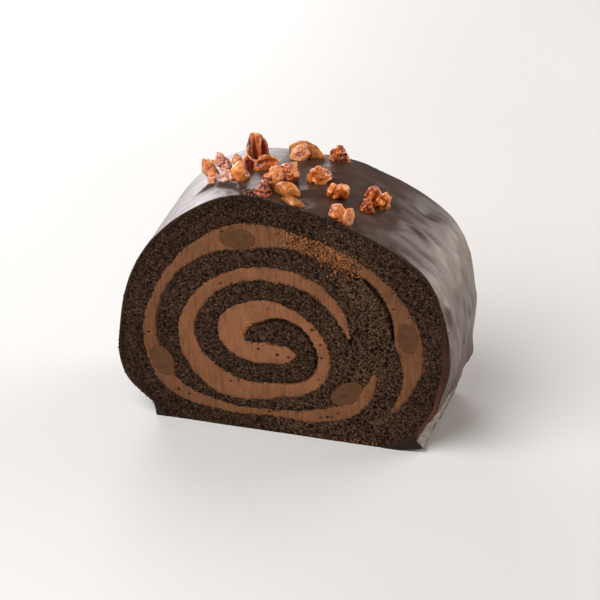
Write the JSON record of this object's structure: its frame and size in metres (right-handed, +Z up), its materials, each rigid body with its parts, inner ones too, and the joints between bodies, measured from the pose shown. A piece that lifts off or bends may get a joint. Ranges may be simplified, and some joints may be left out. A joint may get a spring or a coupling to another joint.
{
  "type": "chocolate roll cake slice",
  "caption": "Cut slice of chocolate roll cake: dark sponge rolled round chocolate cream with soft ganache pieces, under a dark glaze with caramel nut pieces on top.",
  "frame": {"origin": "on the surface that the slice stands on, under the middle of its box", "axes": "+X along the front cut face to the right, +Y from the front cut face to the back one, +Z up"},
  "size_m": [0.091, 0.035, 0.0717],
  "materials": {
    "sponge": "dark cocoa sponge with an open crumb of fine pores",
    "cream": "milk chocolate cream, cut smooth by a knife, with small air holes",
    "ganache": "soft ganache, smooth and slightly darker than the cream",
    "glaze": "set dark chocolate glaze, satin, with knife streaks round the roll",
    "nut": "chopped nut in a glossy amber caramel with sugar grains"
  },
  "bodies": {
    "root": {"sponge": "sponge", "cream_inner": "cream", "cream_outer": "cream", "ganache_1": "ganache", "ganache_2": "ganache", "ganache_3": "ganache", "ganache_4": "ganache", "glaze": "glaze"}
  },
  "joints": []
}
